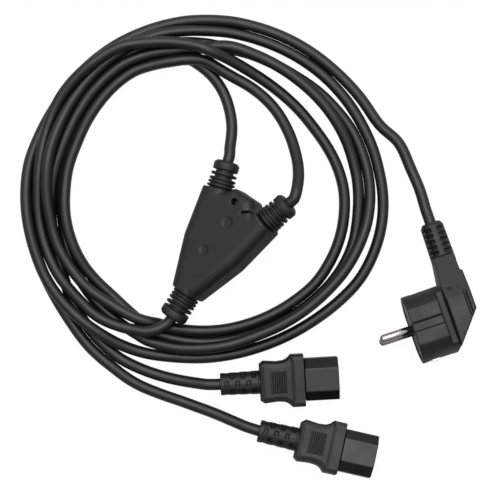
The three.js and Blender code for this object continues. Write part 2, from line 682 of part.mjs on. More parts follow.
// The loose ends between the coil and the pieces, as points in the part's frame.
const looseEnds = {
  left_output_cord_start: [
    [1.7, 60.6, 8], [0.8, 74.9, 6.6], [-3.5, 86.4, 6], [-9.2, 93.8, 6], [-18.6, 100.2, 6], [-30.9, 103.3, 6],
  ],
  right_output_cord_start: [
    [39.5, 40, 26.5], [39.4, 51.3, 21], [33.9, 64, 16], [25.4, 76.9, 12], [18.1, 84.3, 10],
    [10.8, 91, 8.5], [-0.1, 98.4, 7], [-6.6, 102.5, 6.4], [-12.6, 104.9, 6.4],
  ],
  supply_cord_end: [[108.7, 29.5, 5], [93.7, 56.4, 3.6], [87.1, 66.4, 3.4], [79.6, 77.4, 3.5], [73.1, 86.2, 4.5]],
  left_output_cord_end: [
    [8.5, -105.2, 9.5], [-3.5, -102.1, 6.5], [-14.9, -98.3, 4.5], [-26.4, -93.8, 3.6], [-38.4, -89.5, 3.4],
    [-54, -79.4, 3.4], [-70.5, -67.8, 3.4], [-84.4, -54, 3.4], [-95.3, -38.4, 3.5], [-102.2, -27.4, 4.5],
  ],
  right_output_cord_end: [[-14.2, -80.5, 9.5], [-27.6, -79, 7.5], [-38.8, -76.6, 5.5], [-51.1, -71.6, 4], [-62.2, -64.4, 4], [-69.7, -59, 5]],
};

// Where a cord leaves a piece, and the way it goes, in the part's frame.
function exitOf(group, point, way) {
  const from = group.localToWorld(point.clone());
  const to = group.localToWorld(point.clone().add(way));
  return [from, to.sub(from)];
}

function blockExit(cord) {
  const tip = new THREE.Vector3(0, reliefLength, 0).applyMatrix4(exitFrames[cord]);
  const face = new THREE.Vector3(0, reliefLength - 1, 0).applyMatrix4(exitFrames[cord]);
  return exitOf(blockGroup, tip, tip.clone().sub(face));
}

const leftWay = new THREE.Vector3(-1, 0, 0);
const exits = {
  left_output_cord_start: blockExit('left_output'),
  right_output_cord_start: blockExit('right_output'),
  supply_cord_end: exitOf(plugGroup, new THREE.Vector3(plugBootX, plugBootEnd, 0), new THREE.Vector3(0, 1, 0)),
  left_output_cord_end: exitOf(lowerGroup, new THREE.Vector3(), leftWay),
  right_output_cord_end: exitOf(upperGroup, new THREE.Vector3(), leftWay),
};

const cords = new THREE.Group();
for (const [name, points] of Object.entries(looseEnds)) {
  const [from, way] = exits[name];
  const start = [seat, 5].map((step) => from.clone().addScaledVector(way, step).toArray());
  const path = [...start, ...points];
  const reach = path.slice(1).reduce((sum, p, i) => sum + Math.hypot(...p.map((v, axis) => v - path[i][axis])), 0);
  addPiece(cords, name, tube(path, cordRadius, 8, Math.round(reach / 11)), black);
}
const [supplyFrom, supplyWay] = blockExit('supply');
const stub = [seat, 3].map((step) => supplyFrom.clone().addScaledVector(supplyWay, step).toArray());
addPiece(cords, 'supply_cord_start', tube(stub, cordRadius, 8, 1), black);

const [low, high] = [coilRounding, coilHeight - coilRounding];
const [inner, outer] = [coilInner + coilRounding, coilOuter - coilRounding];
const ringProfile = [
  [inner, 0], [outer, 0], [coilOuter, low], [coilOuter, high], [outer, coilHeight],
  [inner, coilHeight], [coilInner, high], [coilInner, low], [inner, 0],
];
const ring = new THREE.LatheGeometry(ringProfile.map(([x, y]) => new THREE.Vector2(x, y)), coilSides);
addPiece(cords, 'cord_coil', ring.rotateX(Math.PI / 2).translate(coilX, coilY, 0), black);

const splitter = new THREE.Group();
splitter.add(blockGroup, plugGroup, upperGroup, lowerGroup, cords);
splitter.updateMatrixWorld(true);

export default splitter;
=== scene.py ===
"""A mains power cord splitter in a loose coil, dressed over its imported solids.

Every length in the settings is in millimetres unless it says otherwise, and every mesh is in metres.
"""

import json
import math

import bmesh
import bpy
import numpy as np
from mathutils import Matrix, Vector


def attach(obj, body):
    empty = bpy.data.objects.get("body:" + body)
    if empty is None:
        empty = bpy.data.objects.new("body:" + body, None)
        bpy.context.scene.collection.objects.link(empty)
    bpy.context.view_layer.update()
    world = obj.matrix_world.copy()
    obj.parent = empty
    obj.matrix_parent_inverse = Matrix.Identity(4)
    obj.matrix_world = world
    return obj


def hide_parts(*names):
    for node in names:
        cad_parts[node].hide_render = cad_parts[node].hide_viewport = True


bl_info = {
    "name": "Power cord splitter",
    "version": (1, 0, 0),
    "blender": (4, 5, 0),
    "location": "View3D > Sidebar > Cord splitter",
    "description": "Builds a mains power cord splitter: block, angled plug, connectors and coiled cords",
    "category": "Object",
}

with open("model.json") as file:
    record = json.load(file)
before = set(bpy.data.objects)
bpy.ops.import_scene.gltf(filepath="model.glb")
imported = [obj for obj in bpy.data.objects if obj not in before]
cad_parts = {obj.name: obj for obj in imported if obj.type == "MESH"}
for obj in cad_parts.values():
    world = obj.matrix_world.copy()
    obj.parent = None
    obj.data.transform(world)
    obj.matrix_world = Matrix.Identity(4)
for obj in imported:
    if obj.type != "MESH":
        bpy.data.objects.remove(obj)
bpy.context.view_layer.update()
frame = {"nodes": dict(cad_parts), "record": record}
NODES = frame["nodes"]
MM = 0.001


# ---- Where things are, in the part's frame, in millimetres ----

COIL_CENTRE = (-14.3, 29.4)
COIL_SCALE = 0.5684  # millimetres for one unit of the radii below

# Where each cord leaves the block, and the way it points there.
BLOCK_EXITS = {
    "supply": ((-31.72, -43.15, 11.53), (-0.535, -0.840, -0.096)),
    "left_output": ((-0.19, 45.12, 10.12), (0.271, 0.961, -0.049)),
    "right_output": ((33.92, 21.08, 30.36), (0.742, 0.629, 0.231)),
}
BLOCK_TURN = (5.5, -26.0, -32.5)  # degrees about X, Y and Z: pitch, roll and heading
RELIEF_LENGTH = 16.5
RELIEF_TAIL = 8.7  # how far a relief reaches into the block
RELIEF_BORE, RELIEF_NECK, RELIEF_GROOVE, RELIEF_RIB = 3.5, 6.6, 5.2, 8.0  # radii
RELIEF_RIB_WIDTH = 1.2
RELIEF_SEAT = 0.3
RELIEF_CAP_START, RELIEF_SHOULDER = 11.3, 15.1
RELIEF_CAPS = {"supply": 8.1, "left_output": 7.3, "right_output": 7.3}

PLUG_CAP = (114.85, 10.29, 10.74)
PLUG_CAP_WAY = (-0.314, 0.938, -0.143)
PLUG_FACE = (103.45, -50.2, 18.49)
PLUG_TURN = (-8.2, 0.0, 18.5)
PLUG_BOOT_Y = 34.3  # where the ribbed boot begins
STRAP_INSET = 0.98  # of its reach across the plug
PIN_SPACING = 19.0
UPPER_ENTRY = (-4.3, -81.0, 9.3)
UPPER_TURN = (0.0, 0.0, 3.2)
LOWER_ENTRY = (17.6, -107.2, 11.11)
LOWER_TURN = (-9.0, 0.0, -12.9)
HOOD_BOOT_X = 21.6  # where the pocketed boot ends

# Radii of the coiled stretches, one for each 10 degrees. Angles count clockwise from the left.
SUPPLY_COIL = {
    "start": 310,
    "step": 10,
    "radii": [
        165, 165.8, 167.5, 167.5, 166.7, 165, 165, 166.7, 168.5, 168.3, 166.3, 164, 155.8, 148.6,
        141.4, 133.7, 128.4, 125.8, 125, 125.8, 127.5, 131.8, 137, 141.5, 144, 145.8, 146.5, 146.7,
        145, 143.8, 142.5, 142.5, 142.5, 143, 144, 145, 147, 151.5, 153.5, 155.5, 155, 155.8, 157.5,
        157.5, 157.5, 158.8, 159.6, 161, 162.5, 162, 161.5, 161.7, 161.7, 163.3, 165.4, 167.9, 170.6,
        173.3, 176.2, 180.3, 182.7, 182.8, 181, 176, 171.7, 169, 167.5, 167.5, 168.5, 170.2, 173.9,
        176.2, 177.5, 179.2, 180, 178.5, 177.7, 177, 175.6, 172.7, 170.6, 170.2, 170.2, 170.1, 169.8,
        169.5, 169.6, 170.7, 172.1, 174, 176.4, 179.4, 183.6, 189,
    ],
    "heights": {
        310: 11.5, 330: 9, 360: 9, 390: 10, 420: 12, 440: 15, 450: 16, 460: 13, 480: 5, 500: 3.3,
        640: 3.3, 655: 5.5, 665: 9.5, 720: 9.5, 760: 6, 780: 3.5, 800: 5, 810: 6, 860: 5, 900: 3.3,
        1010: 3.3, 1030: 8, 1060: 9.5, 1080: 8.5, 1110: 4, 1170: 3.3,
    },
}
RIGHT_COIL = {
    "start": 90,
    "step": -10,
    "radii": [
        130.5, 133.8, 136.3, 137.5, 137.1, 135.8, 135, 134.6, 136.7, 137.9, 140, 141.3, 142, 140.8,
        140, 143.5, 148, 151.3, 152.5, 152.5, 152.7, 153.5, 155.5, 158.2, 160.2, 160.5, 158, 156.5,
        154.8, 152.5, 149.8, 147.2, 145.3, 144.5, 144.6, 146, 141.5, 140.5, 144.2, 148.8, 148.8,
        147.9, 147, 146.7, 148.8, 151, 153.5, 158, 164, 172, 180, 187.5, 190, 191.7, 194,
    ],
    "heights": {
        90: 9.5, 60: 9.5, 0: 8.5, -30: 8, -50: 5, -60: 3.4, -90: 3.3, -215: 3.3, -230: 8, -260: 9,
        -300: 8.5, -355: 8, -370: 4.5, -380: 3.4, -420: 3.3, -440: 5.5, -450: 9,
    },
}
LEFT_COIL = {
    "start": 70,
    "step": -10,
    "radii": [
        141, 143.2, 143.6, 142, 141.5, 142, 143, 144, 145.5, 148, 151, 154, 156, 158, 160, 160,
        158.3, 157, 155.2, 156, 157.5, 159.8, 163, 165.4, 167.5, 167.2, 165, 161.7, 156.6, 152.4,
        147.8, 145.5, 145, 144.6, 147.3, 150.5, 154, 157, 157.5, 158, 158, 161, 166, 170, 175, 179.3,
        181.4, 185, 190.8, 197.4, 205.3,
    ],
    "heights": {
        70: 3.3, -60: 3.3, -85: 7.5, -110: 9, -160: 9, -178: 4, -190: 3.3, -400: 3.3, -408: 4.5,
        -415: 4.5, -430: 3.3,
    },
}

# The loose stretches, between a piece and the coil.
SUPPLY_OUT = [(-38.3, -48.6, 11.6), (-44.6, -50.6, 12), (-51, -50.2, 12.2), (-57.4, -49.2, 12.2), (-63.4, -47.5, 12)]
SUPPLY_IN = [(97.5, 56.8, 3.4), (104, 42, 3.5), (109.2, 29.6, 5)]
RIGHT_OUT = [
    (38.2, 27.6, 31), (39.6, 34.6, 30.4), (39.5, 43, 28.2), (37.6, 52.1, 25), (34.5, 61.6, 21),
    (28.8, 72.4, 17.2), (21.5, 81.2, 14.6), (12.2, 88.6, 12.8), (2.8, 93.7, 11.4), (-6.9, 99.3, 10.2),
]
LEFT_OUT = [
    (1.1, 53.3, 8.6), (2.3, 62.6, 7.3), (2.0, 69.4, 6.3), (0.2, 78, 5), (-2.6, 85.4, 4.2),
    (-6.7, 91.9, 3.6), (-11.2, 96.9, 3.4), (-21.4, 104.3, 3.3), (-27.2, 105.3, 3.3),
]
LEFT_IN = [
    (-37.5, -87.4, 3.3), (-28.5, -90.4, 3.6), (-19.6, -93.6, 4.4), (-8.5, -97.5, 5.8),
    (1.5, -101.5, 8), (9.8, -104.8, 10.2),
]


class CordSettings(bpy.types.PropertyGroup):
    """Sizes of the cords."""

    diameter: bpy.props.FloatProperty(
        name="Diameter", description="Outside of the sheath, in millimetres", default=6.5, min=2, max=12
    )
    spacing: bpy.props.FloatProperty(
        name="Spacing", description="Between points while the cords settle, in millimetres", default=4.0, min=1, max=8
    )
    rounds: bpy.props.IntProperty(
        name="Rounds", description="How often the cords are pushed apart and sink", default=260, min=20, max=1000
    )


class FinishSettings(bpy.types.PropertyGroup):
    """Colours, as hexadecimal sRGB."""

    pvc: bpy.props.StringProperty(name="PVC", description="Moulded PVC of the block, plug and hoods", default="131415")
    sheath: bpy.props.StringProperty(name="Sheath", description="Extruded PVC of the cords", default="151617")
    hard: bpy.props.StringProperty(name="Hard plastic", description="Connector noses and pin bridge", default="131314")
    nickel: bpy.props.StringProperty(name="Nickel", description="Plating of the pins and earth clips", default="b4b1ab")
    brass: bpy.props.StringProperty(name="Brass", description="Contacts and splices", default="c9a45c")


class StageSettings(bpy.types.PropertyGroup):
    """Camera and light."""

    camera_height: bpy.props.FloatProperty(
        name="Camera height", description="Above the table", default=1.0, min=0.3, max=4, unit="LENGTH"
    )
    frame_width: bpy.props.FloatProperty(
        name="Frame", description="Width of the table that the picture shows", default=0.2865, min=0.1, max=1,
        unit="LENGTH",
    )
    softbox_power: bpy.props.FloatProperty(
        name="Softbox", description="Power of the light over the table, in watts", default=12.0, min=0, max=200
    )
    sky: bpy.props.FloatProperty(
        name="Sky", description="Strength of the light from all round", default=0.22, min=0, max=2
    )


# ---- Materials ----


def linear(hex_colour):
    """An sRGB hexadecimal colour as linear RGBA."""
    values = [int(hex_colour[i : i + 2], 16) / 255 for i in (0, 2, 4)]
    return [v / 12.92 if v <= 0.04045 else ((v + 0.055) / 1.055) ** 2.4 for v in values] + [1.0]


def add_node(tree, kind, inputs=None, **settings):
    """A shader node with its settings; an input is a value or another node's output."""
    node = tree.nodes.new(kind)
    for key, value in settings.items():
        setattr(node, key, value)
    for key, value in (inputs or {}).items():
        if isinstance(value, bpy.types.NodeSocket):
            tree.links.new(value, node.inputs[key])
        else:
            node.inputs[key].default_value = value
    return node


def surface(name, colour, roughness, metallic=0.0, grain_mm=0.4, grain_depth=0.1, spread=0.06, stretch=(1, 1, 1),
            tint=0.25):
    """A material with fine grain in its height and slow changes in its roughness and shade."""
    material = bpy.data.materials.new(name)
    material.use_nodes = True
    tree = material.node_tree
    shader = tree.nodes["Principled BSDF"]
    shader.inputs["Metallic"].default_value = metallic
    place = add_node(tree, "ShaderNodeTexCoord")
    stretched = add_node(tree, "ShaderNodeMapping", {"Vector": place.outputs["Object"], "Scale": stretch})
    fine = add_node(
        tree, "ShaderNodeTexNoise", {"Vector": stretched.outputs[0], "Scale": 1 / (grain_mm * MM), "Detail": 2.0}
    )
    slow = add_node(tree, "ShaderNodeTexNoise", {"Vector": place.outputs["Object"], "Scale": 90.0, "Detail": 3.0})
    rough = add_node(
        tree,
        "ShaderNodeMapRange",
        {"Value": slow.outputs["Fac"], "From Min": 0.3, "From Max": 0.7,
         "To Min": roughness - spread, "To Max": roughness + spread},
    )
    base = linear(colour)
    dark = [c * (1 - tint) for c in base[:3]] + [1.0]
    shade = add_node(tree, "ShaderNodeMix", data_type="RGBA")
    tree.links.new(slow.outputs["Fac"], shade.inputs[0])
    shade.inputs[6].default_value = dark
    shade.inputs[7].default_value = base
    bump = add_node(
        tree,
        "ShaderNodeBump",
        {"Height": fine.outputs["Fac"], "Strength": 0.35, "Distance": grain_depth * MM},
    )
    tree.links.new(shade.outputs[2], shader.inputs["Base Color"])
    tree.links.new(rough.outputs[0], shader.inputs["Roughness"])
    tree.links.new(bump.outputs[0], shader.inputs["Normal"])
    return material


MATERIALS = {}


def make_materials(finish):
    """One material for each real finish."""
    # Flexible PVC moulded in a spark-eroded tool: satin, with a fine even grain.
    MATERIALS["black_pvc"] = surface("moulded_pvc", finish.pvc, 0.52, grain_mm=0.35, grain_depth=0.06)
    # The same polymer drawn over the conductors: smoother, so it keeps a soft line of light.
    MATERIALS["sheath"] = surface("extruded_pvc", finish.sheath, 0.4, grain_mm=0.8, grain_depth=0.03, spread=0.04)
    # Glass-filled nylon of the noses: harder and tighter in its shine.
    MATERIALS["black_hard_plastic"] = surface("glass_filled_nylon", finish.hard, 0.4, grain_mm=0.5, grain_depth=0.04)
    # Nickel over brass, barrel-plated: bright, with faint rubs along the pin.
    MATERIALS["nickel_plate"] = surface(
        "nickel_plate", finish.nickel, 0.2, metallic=1.0, grain_mm=0.6, grain_depth=0.02, stretch=(0.3, 1, 1),
        tint=0.08,
    )
    # Drawn brass, a little dull.
    MATERIALS["brass"] = surface(
        "drawn_brass", finish.brass, 0.32, metallic=1.0, grain_mm=0.5, grain_depth=0.02, tint=0.12
    )
    # Plain moulded nylon inside the block.
    MATERIALS["grey_plastic"] = surface("grey_nylon", "b4b5b6", 0.55, grain_mm=0.5, tint=0.1)
    # Conductor insulation, by its colour code.
    MATERIALS["brown_insulation"] = surface("brown_core_pvc", "7a4a2c", 0.45, grain_mm=0.5, tint=0.15)
    MATERIALS["blue_insulation"] = surface("blue_core_pvc", "3565ad", 0.45, grain_mm=0.5, tint=0.15)
    MATERIALS["green_insulation"] = surface("green_core_pvc", "5f9d3c", 0.45, grain_mm=0.5, tint=0.15)


def paint(obj, material):
    """Gives a piece its material."""
    obj.data.materials.clear()
    obj.data.materials.append(material)


# ---- Shapes ----


def link(obj, *nodes):
    """Puts a new piece in the scene, on the part's one body, in place of the solids it stands for."""
    bpy.context.scene.collection.objects.link(obj)
    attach(obj, "root")
    if nodes:
        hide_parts(*nodes)
    return obj


def finish_mesh(bm, name, smooth=True):
    """A bmesh as an object with its faces outwards."""
    bmesh.ops.recalc_face_normals(bm, faces=bm.faces[:])
    mesh = bpy.data.meshes.new(name)
    bm.to_mesh(mesh)
    bm.free()
    for face in mesh.polygons:
        face.use_smooth = smooth
    return bpy.data.objects.new(name, mesh)


def placed(at, turn):
    """The place of a piece in the part's frame, from millimetres and degrees about X, Y and Z."""
    x, y, z = (math.radians(v) for v in turn)
    spin = Matrix.Rotation(z, 4, "Z") @ Matrix.Rotation(x, 4, "X") @ Matrix.Rotation(y, 4, "Y")
    return Matrix.Translation(Vector(at) * MM) @ spin


def moulded(name, node, place, voxel_mm, passes, cut=None, beyond=False):
    """A solid's copy with the small fillets that a moulding has on every edge.

    It is worked in the piece's own directions. With a cut, given as an axis and millimetres along it, only
    the stretch before the cut is kept, or else the stretch beyond it.
    """
    bm = bmesh.new()
    bm.from_mesh(NODES[node].data)
    bmesh.ops.remove_doubles(bm, verts=bm.verts[:], dist=1e-6)
    bm.transform(place.inverted())
    if cut:
        axis, along = cut
        way = Vector([float(axis == k) for k in "XYZ"])
        made = bmesh.ops.bisect_plane(
            bm, geom=bm.verts[:] + bm.edges[:] + bm.faces[:], dist=1e-7, plane_co=way * along * MM, plane_no=way,
            clear_outer=not beyond, clear_inner=beyond,
        )
        rim = [e for e in made["geom_cut"] if isinstance(e, bmesh.types.BMEdge)]
        bmesh.ops.triangle_fill(bm, edges=rim, use_beauty=True)
    obj = finish_mesh(bm, name)
    bpy.context.scene.collection.objects.link(obj)
    remesh = obj.modifiers.new("fillets", "REMESH")
    remesh.mode = "VOXEL"
    remesh.voxel_size = voxel_mm * MM
    remesh.use_smooth_shade = True
    soften = obj.modifiers.new("soften", "SMOOTH")
    soften.factor = 0.5
    soften.iterations = passes
    bpy.context.view_layer.update()
    mesh = bpy.data.meshes.new_from_object(obj.evaluated_get(bpy.context.evaluated_depsgraph_get()))
    obj.modifiers.clear()
    mesh.transform(place)
    obj.data = mesh
    for face in mesh.polygons:
        face.use_smooth = True
    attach(obj, "root")
    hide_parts(node)
    return obj


def turned(name, profile, steps, bevel_mm=0.0, segments=2):
    """A turned shape about +Z from (radius, height) points in millimetres."""
    bm = bmesh.new()
    points = [bm.verts.new((r * MM, 0, z * MM)) for r, z in profile]
    edges = [bm.edges.new(pair) for pair in zip(points, points[1:])]
    bmesh.ops.spin(
        bm, geom=points + edges, cent=(0, 0, 0), axis=(0, 0, 1), angle=2 * math.pi, steps=steps, use_merge=True
    )
    bmesh.ops.remove_doubles(bm, verts=bm.verts[:], dist=1e-6)
    bmesh.ops.recalc_face_normals(bm, faces=bm.faces[:])
    if bevel_mm:
        sharp = [e for e in bm.edges if len(e.link_faces) == 2 and e.calc_face_angle() > math.radians(35)]
        bmesh.ops.bevel(
            bm, geom=sharp, offset=bevel_mm * MM, offset_type="OFFSET", segments=segments, profile=0.5,
            affect="EDGES", material=-1,
        )
    return finish_mesh(bm, name)


def aim(obj, at, way):
    """Moves a mesh made along +Z to a place in millimetres, so that it points along a direction."""
    turn = Vector((0, 0, 1)).rotation_difference(Vector(way).normalized()).to_matrix().to_4x4()
    obj.data.transform(Matrix.Translation(Vector(at) * MM) @ turn)
    return obj


# ---- Cords ----


def coil_points(coil):
    """The points of a coiled stretch, in millimetres."""
    heights = sorted(coil["heights"].items())
    points = []
    for i, radius in enumerate(coil["radii"]):
        degrees = coil["start"] + i * coil["step"]
        z = np.interp(degrees, [h[0] for h in heights], [h[1] for h in heights])
        turn = math.radians(degrees)
        reach = radius * COIL_SCALE
        points.append((COIL_CENTRE[0] - reach * math.cos(turn), COIL_CENTRE[1] + reach * math.sin(turn), float(z)))
    return points


def ahead(exit_name, distance):
    """A point straight out of the block."""
    at, way = BLOCK_EXITS[exit_name]
    return tuple(a + w * distance for a, w in zip(at, way))


def cord_routes():
    """The three cords from the block to what is on their ends, before they settle."""
    into_plug = tuple(a + w * 9 for a, w in zip(PLUG_CAP, PLUG_CAP_WAY))
    return {
        "supply": [ahead("supply", 0), ahead("supply", 3), *SUPPLY_OUT, *coil_points(SUPPLY_COIL), *SUPPLY_IN,
                   into_plug, PLUG_CAP],
        "right_output": [ahead("right_output", 0), ahead("right_output", 4), *RIGHT_OUT, *coil_points(RIGHT_COIL),
                         UPPER_ENTRY],
        "left_output": [ahead("left_output", 0), ahead("left_output", 4), *LEFT_OUT, *coil_points(LEFT_COIL),
                        *LEFT_IN, LOWER_ENTRY],
    }


def even_points(points, spacing):
    """Evenly spaced points on a smooth curve through the given ones."""
    p = np.array(points, float)
    p = np.vstack([2 * p[0] - p[1], p, 2 * p[-1] - p[-2]])
    curve = []
    for a, b, c, d in zip(p, p[1:], p[2:], p[3:]):
        for t in np.linspace(0, 1, 8, endpoint=False):
            curve.append(
                0.5 * (2 * b + (c - a) * t + (2 * a - 5 * b + 4 * c - d) * t**2 + (3 * b - a - 3 * c + d) * t**3)
            )
    curve.append(p[-2])
    curve = np.array(curve)
    along = np.concatenate([[0], np.cumsum(np.linalg.norm(np.diff(curve, axis=0), axis=1))])
    at = np.linspace(0, along[-1], int(round(along[-1] / spacing)) + 1)
    return np.stack([np.interp(at, along, curve[:, k]) for k in range(3)], axis=1)


def settle(routes, settings):
    """The cords after they have sunk onto the table and onto each other, a diameter apart where they cross."""
    gap = settings.spacing
    apart = settings.diameter + 0.05
    radius = settings.diameter / 2
    parts = [even_points(points, gap) for points in routes.values()]
    sizes = [len(p) for p in parts]
    x = np.vstack(parts)
    home = x.copy()
    cord = np.repeat(np.arange(len(sizes)), sizes)
    along = np.concatenate([np.arange(n) for n in sizes])
    free = np.concatenate([(np.arange(n) > 2) & (np.arange(n) < n - 3) for n in sizes])
    same = (cord[:, None] == cord[None, :]) & (abs(along[:, None] - along[None, :]) * gap < 3.2 * apart)
    close = np.linalg.norm(home[:, None, :2] - home[None, :, :2], axis=2) < 4 * apart
    first, second = np.nonzero(np.triu(close & ~same, 1))
    for k in range(settings.rounds):
        x[free, 2] -= 0.10 * (1 - k / settings.rounds)
        middle = x.copy()
        middle[1:-1] = (x[:-2] + x[2:]) / 2
        x[free, 2] += 0.35 * (middle[free, 2] - x[free, 2])
        x[free, :2] += 0.10 * (middle[free, :2] - x[free, :2]) + 0.10 * (home[free, :2] - x[free, :2])
        for _ in range(3):
            between = x[first] - x[second]
            distance = np.linalg.norm(between, axis=1)
            hit = distance < apart
            push = between[hit] * ((apart - distance[hit]) / np.maximum(distance[hit], 1e-6) / 2)[:, None]
            push[:, :2] *= 0.6
            total = np.zeros_like(x)
            count = np.zeros(len(x))
            for ends, sign in ((first[hit], 1), (second[hit], -1)):
                np.add.at(total, ends, sign * push * free[ends][:, None])
                np.add.at(count, ends, 1)
            x += total / np.maximum(count, 1)[:, None] * 1.6
            x[free, 2] = np.maximum(x[free, 2], radius)
    edges = np.cumsum([0, *sizes])
    return {name: x[a:b] for name, a, b in zip(routes, edges, edges[1:])}


def length_of(points):
    """The length of a line of points."""
    return float(np.linalg.norm(np.diff(points, axis=0), axis=1).sum())


def cord_curve(name, points, diameter, spacing_mm=2.0):
    """A cord as one open spline, from points in millimetres."""
    fine = even_points(points, spacing_mm)
    curve = bpy.data.curves.new(name, "CURVE")
    curve.dimensions = "3D"
    curve.bevel_depth = 1.0
    curve.bevel_resolution = 6
    curve.use_fill_caps = True
    spline = curve.splines.new("POLY")
    spline.points.add(len(fine) - 1)
    for point, place in zip(spline.points, fine):
        point.co = (*[float(v) * MM for v in place], 1)
        point.radius = diameter / 2 * MM
    spline.use_smooth = True
    return bpy.data.objects.new(name, curve), length_of(fine)


def nodes_of(*starts):
    """The shown solids whose names begin in one of these ways."""
    return [obj for name, obj in NODES.items() if name.startswith(starts)]


class SPLITTER_OT_cords(bpy.types.Operator):
    """Lay the three cords, from the block to the plug and the connectors"""

    bl_idname = "splitter.cords"
    bl_label = "Cords"

    def execute(self, context):
        settings = context.scene.splitter_cords
        laid = settle(cord_routes(), settings)
        ends = {
            "supply": ("plug", ["supply_cord_start", "supply_cord_end"],
                       ["plug_shell", "plug_boot", "live_pin_turned", "neutral_pin_turned", "earth_strap_formed"],
                       nodes_of("pin_bridge", "earth_socket", "plug_live", "plug_neutral", "plug_earth",
                                "supply_sheath_in_plug")),
            "right_output": ("connector", ["right_output_cord_start", "right_output_cord_end"],
                             ["upper_hood_shell", "upper_boot_shell", "upper_nose_shell"],
                             nodes_of("upper_connector_live", "upper_connector_neutral", "upper_connector_earth",
                                      "upper_connector_sheath")),
            "left_output": ("connector", ["left_output_cord_start", "left_output_cord_end"],
                            ["lower_hood_shell", "lower_boot_shell", "lower_nose_shell"],
                            nodes_of("lower_connector_live", "lower_connector_neutral", "lower_connector_earth",
                                     "lower_connector_sheath")),
        }
        for name, (far_end, solids, shells, inner) in ends.items():
            obj, length = cord_curve(f"{name}_cord", laid[name], settings.diameter)
            link(obj, *solids, "cord_coil")
            paint(obj, MATERIALS["sheath"])
        return {"FINISHED"}


class SPLITTER_OT_block(bpy.types.Operator):
    """Mould the Y-shaped block"""

    bl_idname = "splitter.block"
    bl_label = "Block"

    def execute(self, context):
        shell = moulded("block_shell", "splitter_body", placed((0, 0, 0), BLOCK_TURN), 0.45, 8)
        paint(shell, MATERIALS["black_pvc"])
        return {"FINISHED"}


class SPLITTER_OT_reliefs(bpy.types.Operator):
    """Turn the ribbed strain reliefs of the block"""

    bl_idname = "splitter.reliefs"
    bl_label = "Strain reliefs"

    def execute(self, context):
        neck, groove, rib = RELIEF_NECK, RELIEF_GROOVE, RELIEF_RIB
        # What each rib is followed by, from the block outwards: the radius there and its width.
        gaps = ((neck, 0.9), (neck, 0.9), (groove, 1.7), (groove, 1.7))
        for name, (tip, way) in BLOCK_EXITS.items():
            cap = RELIEF_CAPS[name]
            profile = [(RELIEF_BORE, -RELIEF_TAIL), (groove, -RELIEF_TAIL), (groove, RELIEF_SEAT), (neck, RELIEF_SEAT)]
            y = 1.1
            before = neck
            for after, gap in gaps:
                reach = rib + (cap - rib) * y / RELIEF_CAP_START
                end = y + RELIEF_RIB_WIDTH
                profile += [(before, y), (reach, y), (reach, end), (after, end)]
                y = end + gap
                before = after
            profile += [(groove, RELIEF_CAP_START), (cap, RELIEF_CAP_START), (cap + 0.1, RELIEF_SHOULDER)]
            profile += [(cap - 1.3, RELIEF_LENGTH), (RELIEF_BORE, RELIEF_LENGTH), (RELIEF_BORE, -RELIEF_TAIL)]
            face = tuple(t - w * RELIEF_LENGTH for t, w in zip(tip, way))
            obj = turned(f"{name}_relief_turned", profile, 48, bevel_mm=0.3)
            aim(obj, face, way)
            link(obj, f"{name}_strain_relief")
            paint(obj, MATERIALS["black_pvc"])
        return {"FINISHED"}


class SPLITTER_OT_plug(bpy.types.Operator):
    """Mould the angled plug and turn its two pins"""

    bl_idname = "splitter.plug"
    bl_label = "Plug"

    def execute(self, context):
        place = placed(PLUG_FACE, PLUG_TURN)
        cut = ("Y", PLUG_BOOT_Y)
        for shell in (
            moulded("plug_shell", "plug_body", place, 0.4, 6, cut),
            moulded("plug_boot", "plug_body", place, 0.26, 3, cut, beyond=True),
        ):
            paint(shell, MATERIALS["black_pvc"])
        # The sprung clips lie a little below the moulding, in their recesses.
        bm = bmesh.new()
        bm.from_mesh(NODES["earth_strap"].data)
        bmesh.ops.remove_doubles(bm, verts=bm.verts[:], dist=1e-6)
        bm.transform(place @ Matrix.Diagonal((1, STRAP_INSET, STRAP_INSET, 1)) @ place.inverted())
        strap = link(finish_mesh(bm, "earth_strap_formed", smooth=False), "earth_strap")
        paint(strap, MATERIALS["nickel_plate"])
        nose = [(0.0, 19.0)] + [(2.4 * math.sin(a), 16.9 + 2.1 * math.cos(a)) for a in np.linspace(0.3, math.pi / 2, 7)]
        profile = [(0.0, -9.0), (2.4, -9.0), *reversed(nose)]
        for pole, up in (("live", 1), ("neutral", -1)):
            pin = turned(f"{pole}_pin_turned", profile, 40)
            pin.data.transform(Matrix.Rotation(-math.pi / 2, 4, "Y"))
            pin.data.transform(place @ Matrix.Translation((0, 0, up * PIN_SPACING / 2 * MM)))
            link(pin, f"{pole}_pin")
            paint(pin, MATERIALS["nickel_plate"])
        return {"FINISHED"}


class SPLITTER_OT_connectors(bpy.types.Operator):
    """Mould the hoods and noses of the two appliance connectors"""

    bl_idname = "splitter.connectors"
    bl_label = "Connectors"

    def execute(self, context):
        cut = ("X", HOOD_BOOT_X)
        for side, place in (("upper", placed(UPPER_ENTRY, UPPER_TURN)), ("lower", placed(LOWER_ENTRY, LOWER_TURN))):
            for shell in (
                moulded(f"{side}_hood_shell", f"{side}_connector_hood", place, 0.22, 2, cut, beyond=True),
                moulded(f"{side}_boot_shell", f"{side}_connector_hood", place, 0.26, 3, cut),
            ):
                paint(shell, MATERIALS["black_pvc"])
            nose = moulded(f"{side}_nose_shell", f"{side}_connector_nose", place, 0.34, 3)
            paint(nose, MATERIALS["black_hard_plastic"])
        return {"FINISHED"}


